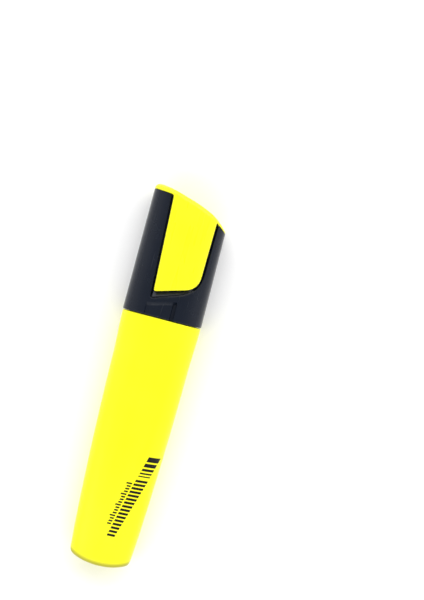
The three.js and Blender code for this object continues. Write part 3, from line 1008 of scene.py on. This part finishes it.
def meet(form, line, angle, grow=0.0):
    """Where a form's line at an angle meets a line x(y) across it."""
    x = line(0)
    for _ in range(MEET_STEPS):
        x = line(form.point(x, angle, grow)[1])
    return x


def cap_plan(x, angle):
    """The plan point of the cap's outside at an angle."""
    return (x, CAP.wide(x) * share_across(angle))


def plan_grid(angles, from_x, to_x):
    """Plan points over the front face, clear of the two seams."""
    rows = np.arange(from_x, to_x, ROW_STEP)
    return [cap_plan(x, angle) for x in rows for angle in angles[1:-1]]


def end_grid():
    """Flat points over the cap's end, seen along X."""
    return [(y, z) for y in np.arange(*END_GRID_Y) for z in np.arange(*END_GRID_Z)]


# ---- cap shell ----
def channel_top(y):
    """The slanted upper edge of the channel, nearly parallel to the clip's tip."""
    return RIM_X + CHANNEL_TOP[0] + CHANNEL_TOP[1] * y


def hollow(share, low, high):
    """1 between two shares of the half width and 0 outside, over walls inside the hollow."""
    return clamp((share - low) / CHANNEL_WALL) * clamp((high - share) / CHANNEL_WALL)


def channel_sink(x, share):
    """Depth of the channel and of the slot along its right side."""
    top = clamp((channel_top(share * CAP_WIDE_RIM) - x) / CHANNEL_TOP_WALL)
    depth = CHANNEL_DEPTH * hollow(share, CHANNEL_RIGHT, CHANNEL_LEFT)
    depth += (SLOT_DEPTH - CHANNEL_DEPTH) * hollow(share, CHANNEL_RIGHT, SLOT_LEFT)
    return depth * top


def shell_front(x, y, grow=0.0):
    return (x, y, CAP.front(x, y, grow - channel_sink(x, y / CAP.wide(x))))


def ledge(x, y):
    """0 under the clip, rising to 1 at the far edge of the ledge under its tip."""
    tip_x = CLIP_TIP_X + (CLIP_TIP_LEFT - y) * CLIP_TIP_SLANT / (CLIP_TIP_LEFT - CLIP_TIP_RIGHT)
    return clamp((tip_x - x) / (RECESS_TIP_GAP - GROOVE_WIDTH))


def floor_depth(x, y):
    return lerp(RECESS_DEPTH, LEDGE_DEPTH, ledge(x, y))


def recess_floor(x, y):
    return (x, y, CAP.front(x, y, -floor_depth(x, y)))


def shell_ring(x, front, back, grow=0.0):
    """A ring of the shell's outside, starting at the left seam."""
    wide = CAP.wide(x)
    ring = []
    for angle in front:
        share = share_across(angle)
        y = (wide + grow) * share
        ring.append((x, y, CAP.front(x, y, grow - channel_sink(x, share))))
    return ring + CAP.ring(x, back[1:-1], grow)


def column(form, angle, from_x, line, rows=26):
    """Points up the outside at one angle, from a ring to a line across the cap."""
    top = meet(form, line, angle)
    return [form.point(x, angle) for x in spread(from_x, top, rows)]


def recess_strip(path, normals):
    """Rows of points from the shell's face down the recess wall and groove to its floor."""
    rows = []
    for rise, inset in quarter(3):
        offset = RECESS_EDGE * (1 - rise)
        row = [end_on_line(p, -n * offset) for p, n in zip(path, normals)]
        rows.append([lowered(shell_front(*p), RECESS_EDGE * inset) for p in row])
    for offset, deep in GROOVE_PROFILE:
        row = [end_on_line(p, n * offset * GROOVE_WIDTH) for p, n in zip(path, normals)]
        grooves = [GROOVE_DEPTH * (1 - smoothstep(p[0], *GROOVE_END)) for p in path]
        rows.append([lowered(recess_floor(*p), g * deep) for p, g in zip(row, grooves)])
    return rows


def end_on_line(point, offset):
    """An offset path point. The recess's open ends stay on the shell's top line."""
    x, y = point + offset
    if abs(point[0] - shell_top(point[1])) < TINY:
        x = shell_top(y)
    return (x, y)


def lowered(point, depth):
    x, y, z = point
    return (x, y, z - depth)


def recess_path():
    """The recess's outline in plan: its left edge, the slanted end under the tip, its right."""
    top_left, _, tip_right, top_right = clip_corners(shell_top, RECESS_GAP)
    low_x = CLIP_TIP_X - RECESS_TIP_GAP
    low_left = (low_x, CLIP_TIP_LEFT + RECESS_GAP - RECESS_TIP_INSET)
    low_right = (low_x + RECESS_TIP_SLANT, tip_right[1])
    return rounded_path(
        [
            (shell_top(top_left[1]), top_left[1], 0, 0),
            (*low_left, RECESS_LEFT_ROUND, RECESS_LEFT_ROUND),
            (*low_right, RECESS_RIGHT_ROUND, RECESS_RIGHT_ROUND),
            (shell_top(top_right[1]), top_right[1], 0, 0),
        ]
    )


def across_line(line, angles, low_y, high_y):
    """Plan points on a line across the cap, strictly between two places."""
    points = []
    for angle in angles:
        _, y = cap_plan(meet(CAP, line, angle), angle)
        if low_y + LINE_MARGIN < y < high_y - LINE_MARGIN:
            points.append((line(y), y))
    return points


def channel_angles():
    """Angles of the front columns that the walls of the channel and the slot need."""
    shares = [CHANNEL_LEFT, CHANNEL_LEFT - CHANNEL_WALL, SLOT_LEFT, SLOT_LEFT - CHANNEL_WALL]
    shares += [CHANNEL_RIGHT, CHANNEL_RIGHT + CHANNEL_WALL]
    return [angle_of_share(share) for share in shares]


def shell_grid(angles, face_x):
    """Plan points for the shell's front, in rows that follow the channel's slanted end."""
    points = []
    for angle in angles[1:-1]:
        y = CAP_WIDE_RIM * share_across(angle)
        top = channel_top(y)
        rows = spread(face_x, top - CHANNEL_TOP_WALL, 10)[1:]
        rows += list(np.arange(top, ROOF_X, ROW_STEP))
        points += [cap_plan(x, angle) for x in rows]
    return points


def shell_faces():
    """The shell's sides and back, its front with the channel and recess, its rim and cavity."""
    front = front_angles(channel_angles())
    back = back_angles()
    face_x = RIM_X + RIM_FILLET

    sides = [column(CAP, angle, face_x, shell_top) for angle in back]
    path = recess_path()
    strip = recess_strip(path, left_normals(path))
    wall_left = strip[0][0][1]
    wall_right = strip[0][-1][1]
    seam_left = sides[-1]
    seam_right = sides[0]
    across_left = across_line(shell_top, front, wall_left, seam_left[-1][1])
    across_right = across_line(shell_top, front, seam_right[-1][1], wall_right)
    top_left, top_right = [
        [shell_front(*p) for p in points] for points in (across_left, across_right)
    ]
    rim_row = shell_ring(face_x, front, back)[: len(front)]

    outline = [*rim_row, *seam_right[1:], *reversed(top_right), *reversed(strip[0])]
    outline += [*reversed(top_left), *reversed(seam_left[1:])]
    grid = shell_grid(front, face_x)
    faces = skin(sides, closed=False) + skin(strip, closed=False)
    faces += patch([outline], plan, grid, shell_front, clear=0.2)

    floor_top = across_line(shell_top, front, strip[-1][-1][1], strip[-1][0][1])
    floor_line = [recess_floor(*p) for p in floor_top]
    floor = [*strip[-1], *reversed(floor_line)]
    faces += patch([floor], plan, plan_grid(front, MOUTH_X, ROOF_X), recess_floor)

    rim = [
        shell_ring(RIM_X + RIM_FILLET * (1 - rise), front, back, -RIM_FILLET * inset)
        for rise, inset in quarter(4)
    ]
    all_angles = [*front, *back[1:-1]]
    inner = [
        CAVITY.ring(RIM_X, all_angles, RIM_BEVEL),
        CAVITY.ring(RIM_X + RIM_BEVEL, all_angles),
    ]
    cavity_columns = [column(CAVITY, a, RIM_X + RIM_BEVEL, shell_top, 12) for a in all_angles]
    cavity = [list(row) for row in zip(*cavity_columns)]
    faces += skin([*rim, *inner, *cavity[1:]])

    wall_ends_left = [row[0] for row in strip]
    wall_ends_right = [row[-1] for row in strip]
    end_loop = [*top_left, *wall_ends_left, *floor_line, *reversed(wall_ends_right)]
    end_loop += [*top_right, *(side[-1] for side in sides)]
    faces += patch([end_loop, cavity[-1]], end_on, end_grid(), lambda y, z: (shell_top(y), y, z))
    return faces


# ---- roof and clip ----
BAND_SEAM_Y = 9.6  # outside this the band's edges turn with the section
BAND_STRAIGHT_Y = 10.6  # outside this its lower edge faces straight along the pen
EDGE_BLEND = (1.5, 0.2)  # the clip's edge becomes the band's between these places below it
INNER_MARGIN = 0.5  # the clip's inner face ends this far below the band
ROOF_LEFT_ROUND = 3.0
ROOF_LEFT_SHARES = (0.62, 0.98)  # its rounding grows to that between these half width shares
ROOF_ROUND_SHARE = 0.8  # height of the top edge's rounding, as a share of the band
ROOF_SOFT = 0.7  # what is added to that over the clip, between these places in Y
ROOF_SOFT_RIGHT = (-9.4, -5.0)
ROOF_SOFT_LEFT = (1.5, 5.9)
TOP_SHARES = (0.9, 0.75, 0.55, 0.35, 0.15)  # rings over the roof's top
BEND_START = 0.3


def lift(y):
    """How far the insert's front face stands over the shell's, falling to nothing at the sides."""
    if y > 0:
        return CLIP_PROUD * (1 - smoothstep(y, *CLIP_LEFT_FADE))
    return CLIP_PROUD * (1 - smoothstep(-y, *CLIP_RIGHT_FADE))


def insert_point(x, y, drop=0.0):
    """A point on the insert's front face, or at a depth under it."""
    squeeze = smoothstep(abs(y), BAND_SEAM_Y, CLIP_LEFT_FADE[1])
    under_y = y * (1 - squeeze * drop / CAP.wide(x))
    return (x, under_y, CAP.front(x, under_y, lift(y) - drop))


def band_thickness(y):
    return roof_top(y) - roof_low(y)


def band_edge(y):
    """Radius of the band's lower edge, smaller where the band is thin."""
    return min(BAND_EDGE, BAND_EDGE_SHARE * band_thickness(y))


def roof_round(angle):
    """(inset, height) of the rounding along the roof's top edge at an angle."""
    share = share_across(angle)
    y = CAP_WIDE_TOP * share
    height = ROOF_ROUND_SHARE * band_thickness(y)
    if math.sin(angle) > 0:
        over_clip = smoothstep(y, *ROOF_SOFT_RIGHT) * (1 - smoothstep(y, *ROOF_SOFT_LEFT))
        height += ROOF_SOFT * over_clip
    left = smoothstep(share, *ROOF_LEFT_SHARES)
    return lerp(height, ROOF_LEFT_ROUND, left), height


def roof_edge_point(angle, rise, inset_share):
    """A point on the rounding of the roof's edge. rise and inset_share run from 0 to 1."""
    inset, height = roof_round(angle)
    sink = inset * inset_share
    x = ROOF_X
    for _ in range(MEET_STEPS):
        x = roof_top((CAP.wide(x) - sink) * share_across(angle)) - height * (1 - rise)
    wide = CAP.wide(x)
    y = (wide - sink) * share_across(angle)
    if SEAM_ANGLE - TINY < angle < math.pi - SEAM_ANGLE + TINY:
        raised = lift(wide * share_across(angle))
        return (x, y, CAP.front(x, y, raised - sink))
    return CAP.point(x, angle, -sink)


def insert_path(seam_left, seam_right, front):
    """The insert's lower edge in plan: band, clip's left edge, tip, right edge, band."""
    top_left, tip_left, tip_right, top_right = clip_corners(roof_low)
    left_band = across_line(roof_low, front, top_left[1] + ROOT_LEFT[0], seam_left[1])
    right_band = across_line(roof_low, front, seam_right[1], top_right[1] - ROOT_RIGHT[0])
    corners = [(*plan(seam_left), 0, 0)]
    corners += [(*p, 0, 0) for p in left_band]
    corners += [
        (roof_low(top_left[1]), top_left[1], *ROOT_LEFT[1:]),
        (*tip_left, CLIP_LEFT_ROUND, CLIP_LEFT_ROUND),
        (*tip_right, CLIP_RIGHT_ROUND, CLIP_RIGHT_ROUND),
        (roof_low(top_right[1]), top_right[1], *ROOT_RIGHT[1:]),
    ]
    corners += [(*p, 0, 0) for p in right_band]
    corners += [(*plan(seam_right), 0, 0)]
    return rounded_path(corners)


def edge_normals(path):
    """Normals into the insert. Along the band they run straight along the pen."""
    straight = np.array((1.0, 0.0))
    normals = []
    for point, normal in zip(path, left_normals(path)):
        turned = lerp(normal, straight, smoothstep(abs(point[1]), BAND_SEAM_Y, BAND_STRAIGHT_Y))
        normals.append(turned / np.linalg.norm(turned))
    return normals


def edge_round(point):
    """Radius of the insert's lower edge: soft on the clip and small along the band."""
    x, y = point
    share = smoothstep(x, *(roof_low(y) - below for below in EDGE_BLEND))
    return lerp(CLIP_EDGE, band_edge(y), share)


def insert_strip(path):
    """Rows from the front face over the lower edge and down to the clip's inner face."""
    normals = edge_normals(path)
    rounds = [edge_round(p) for p in path]
    rows = []
    for rise, inset in quarter(4):
        row = [p + n * r * (1 - rise) for p, n, r in zip(path, normals, rounds)]
        rows.append([insert_point(*p, r * inset) for p, r in zip(row, rounds)])
    for rise, inset in quarter(3):
        row = [p + n * CLIP_UNDER_EDGE * inset for p, n in zip(path, normals)]
        drop = CLIP_THICK - CLIP_UNDER_EDGE * (1 - rise)
        rows.append([insert_point(*p, drop) for p in row])
    return rows


def insert_faces():
    """The front face, its lower edge, the sides, the roof's top and both inner faces."""
    front = front_angles()
    back = back_angles()
    edge_rows = [
        [roof_edge_point(angle, rise, inset) for angle in [*front, *back[1:-1]]]
        for rise, inset in quarter(8)
    ]
    seam_left, seam_right = [
        CAP.point(meet(CAP, roof_low, angle), angle) for angle in (front[0], front[-1])
    ]
    path = insert_path(seam_left, seam_right, front)
    strip = insert_strip(path)

    outline = [*edge_rows[0][: len(front)], *reversed(strip[0])]
    grid = plan_grid(front, CLIP_TIP_X, ROOF_X)
    faces = patch([outline], plan, grid, insert_point) + skin(strip, closed=False)

    sides = []
    for angle in back:
        low_x = meet(CAP, roof_low, angle)
        edge = band_edge(CAP_WIDE_TOP * share_across(angle))
        rows = []
        for rise, inset in reversed(quarter(3)):
            under_x = low_x + CLIP_UNDER_EDGE * inset
            rows.append(CAP.point(under_x, angle, CLIP_UNDER_EDGE * (1 - rise) - CLIP_THICK))
        for rise, inset in reversed(quarter(4)):
            rows.append(CAP.point(low_x + edge * (1 - rise), angle, -edge * inset))
        rows.append(roof_edge_point(angle, 0, 0))
        sides.append(rows)
    faces += skin(sides, closed=False)
    faces += skin(edge_rows)

    middle_z = CAP.centre(ROOF_X)
    top_rings = [edge_rows[-1]]
    for share in TOP_SHARES:
        ring = [
            (roof_top(y * share), y * share, lerp(middle_z, z, share))
            for _, y, z in edge_rows[-1]
        ]
        top_rings.append(ring)
    faces += skin(top_rings) + fan(top_rings[-1], (roof_top(0), 0, middle_z))

    inner = strip[-1]
    clip_part = [i for i, (x, y) in enumerate(path) if x < roof_low(y) - INNER_MARGIN]
    first, last = clip_part[0], clip_part[-1]
    hung = across_line(roof_low, front, inner[last][1], inner[first][1])
    root_line = [insert_point(*p, CLIP_THICK) for p in hung]
    inner_loop = [*inner[first : last + 1], *reversed(root_line)]
    faces += patch([inner_loop], plan, grid, lambda x, y: insert_point(x, y, CLIP_THICK))
    under_loop = [*inner[: first + 1], *root_line, *inner[last:]]
    under_loop += [rows[0] for rows in sides[1:-1]]
    faces += patch([under_loop], end_on, end_grid(), lambda y, z: (roof_low(y), y, z))
    return faces


def make_insert(material):
    """Roof and clip as the one moulding that they are."""
    obj = make_object("roof_and_clip", insert_faces(), material)
    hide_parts("cap_roof", "cap_clip")
    start_x = (roof_low(-CAP_WIDE_TOP) - BEND_START) / MM
    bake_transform(obj)


# ---- inner cap ----
EARS_HEIGHT = 16.6  # of the cup's flange over its mouth
CUP_TOP_WALL = 0.8


def inner_cap_faces():
    """A cup whose flange, half way up, holds it in the shell. Stations as in oval_rings."""
    angles = even_angles(OVAL_ANGLES)
    mouth_x = CUP_LOW[0]
    top_x = CUP_HIGH[0]
    ears_x = mouth_x + EARS_HEIGHT
    ears_wide = CUP_HIGH[1]
    outside = [
        (mouth_x, 6.75, 4.9),
        (mouth_x, 7.2, 5.35),
        (mouth_x + 0.5, 7.3, 5.45),
        (ears_x - 0.6, 7.2, 5.36),
        (ears_x, 7.3, 5.38),
        (ears_x, ears_wide - 0.2, 5.4),
        (ears_x + 0.4, ears_wide, 5.42),
        (ears_x + 0.8, ears_wide, 5.42),
        (ears_x + 1.1, ears_wide - 0.2, 5.3),
        (ears_x + 1.1, 6.4, 4.4),
        (ears_x + 1.8, 6.0, 4.15),
        (top_x - 0.7, 5.95, 4.1),
        (top_x, 5.2, 3.5),
    ]
    inside_profile = [
        (top_x - CUP_TOP_WALL, 4.6, 2.9),
        (top_x - 1.2, 5.1, 3.3),
        (ears_x + 0.8, 5.2, 3.35),
        (ears_x - 0.6, 6.35, 4.5),
        (mouth_x + 1.2, 6.5, 4.65),
        (mouth_x, 6.75, 4.9),
    ]
    outer_rings = oval_rings(outside, angles)
    inner_rings = oval_rings(inside_profile, angles)
    faces = skin(outer_rings) + skin(inner_rings)
    faces += fan(outer_rings[-1], (top_x, 0, AXIS_Z))
    faces += fan(inner_rings[0], (top_x - CUP_TOP_WALL, 0, AXIS_Z))
    return faces


# ---- the pen ----
def build_pen():
    milky = milky_plastic("inner_cap_milky")
    add_piece(
        "barrel_shell", barrel_faces(), barrel_yellow(), "yellow_barrel", "pen_body", "barrel"
    )
    add_piece("barrel_print", print_faces(), print_ink(), "yellow_barrel", "pen_body")
    add_piece(
        "section_shell",
        front_section_faces(),
        black_texture(),
        "black_section",
        "pen_body",
        "front_section",
    )
    make_nib(bonded_fibre("nib_ink_fibre", NIB_DEEP, NIB_BRIGHT, 0.06))
    add_piece("cap_body", shell_faces(), black_gloss(), "black_cap", "cap", "cap_shell")
    add_piece("inner_cup", inner_cap_faces(), milky, "natural_plastic", "cap", "inner_cap")
    make_insert(insert_yellow())


def dress_carried_nodes():
    """Materials for the CAD pieces inside the barrel, which stay as they are."""
    looks = {
        "reservoir_core": bonded_fibre("core_fibre", CORE_DEEP, CORE_BRIGHT, 0.1),
        "reservoir_film": clear_film(),
        "breather_tube": milky_plastic("tube_milky"),
    }
    for node, material in looks.items():
        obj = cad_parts[node]
        obj.data.materials.clear()
        obj.data.materials.append(material)


# ---- stage ----
VIEW_HEIGHT = 0.1911  # what the picture's height spans at the pen's middle, in metres
VIEW_TURN = math.radians(14.7)  # the pen leans this far clockwise from upright
VIEW_RIGHT = 1 / 12  # the picture's middle, right of and above the rim, in picture heights
VIEW_UP = 0.0302
LENS = 75.0
SENSOR = 36.0
FLOOR_HALF = 6.0
FLOOR_NEAR = 0.6  # the floor's glow starts at this distance and is full at the next
FLOOR_FAR = 1.4
FLOOR_GLOW = 0.5
WORLD_LEVELS = (1.0, 0.4)  # light from the horizon and from straight overhead
WORLD_BLEND = (0.35, 0.96)  # the level changes between these heights of the light's direction
LIGHT_SIZE = (2.4, 0.8)
KEY = ((0.75, -0.1, 0.7), 13.0)  # place in metres and power in watts
FILL = ((-0.75, 0.1, 0.7), 8.5)


def add_camera():
    """Straight down, with the cap's roof up the picture and leaning to the right."""
    right = Vector((math.sin(VIEW_TURN), -math.cos(VIEW_TURN), 0))
    up = Vector((math.cos(VIEW_TURN), math.sin(VIEW_TURN), 0))
    middle = Vector((RIM_X / MM, 0, AXIS_Z / MM))
    middle += VIEW_HEIGHT * (VIEW_RIGHT * right + VIEW_UP * up)
    distance = VIEW_HEIGHT * LENS / SENSOR
    data = bpy.data.cameras.new("camera")
    data.lens = LENS
    data.sensor_width = SENSOR
    data.clip_start = 0.01
    camera = add_object("camera", data)
    camera.location = middle + Vector((0, 0, distance))
    camera.rotation_euler = (0, 0, VIEW_TURN - math.pi / 2)
    bpy.context.scene.camera = camera


def add_light(name, location, power):
    """A large rectangular soft light that faces the pen."""
    data = bpy.data.lights.new(name, "AREA")
    data.shape = "RECTANGLE"
    data.size, data.size_y = LIGHT_SIZE
    data.energy = power
    light = add_object(name, data)
    light.location = location
    light.rotation_euler = (-Vector(location)).to_track_quat("-Z", "Y").to_euler()


def add_floor():
    half = FLOOR_HALF
    corners = [(-half, -half, 0), (half, -half, 0), (half, half, 0), (-half, half, 0)]
    mesh = bpy.data.meshes.new("floor")
    mesh.from_pydata(corners, [], [(0, 1, 2, 3)])
    mesh.materials.append(floor_paper())
    add_object("floor", mesh)


def add_world():
    """Even white light from all sides, weaker from straight overhead, where a camera hangs."""
    world = bpy.data.worlds.new("studio")
    world.use_nodes = True
    nodes = world.node_tree.nodes
    links = world.node_tree.links
    direction = nodes.new("ShaderNodeTexCoord").outputs["Generated"]
    split = nodes.new("ShaderNodeSeparateXYZ")
    links.new(direction, split.inputs["Vector"])
    level = nodes.new("ShaderNodeMapRange")
    level.interpolation_type = "SMOOTHSTEP"
    limits = zip(("From Min", "From Max", "To Min", "To Max"), WORLD_BLEND + WORLD_LEVELS)
    for name, value in limits:
        level.inputs[name].default_value = value
    links.new(split.outputs["Z"], level.inputs["Value"])
    background = nodes["Background"]
    background.inputs["Color"].default_value = (1, 1, 1, 1)
    links.new(level.outputs["Result"], background.inputs["Strength"])
    bpy.context.scene.world = world


def build_stage():
    add_camera()
    add_floor()
    add_world()
    add_light("key", *KEY)
    add_light("fill", *FILL)
    bpy.context.scene.view_settings.view_transform = "Standard"


build_stage()
build_pen()
dress_carried_nodes()
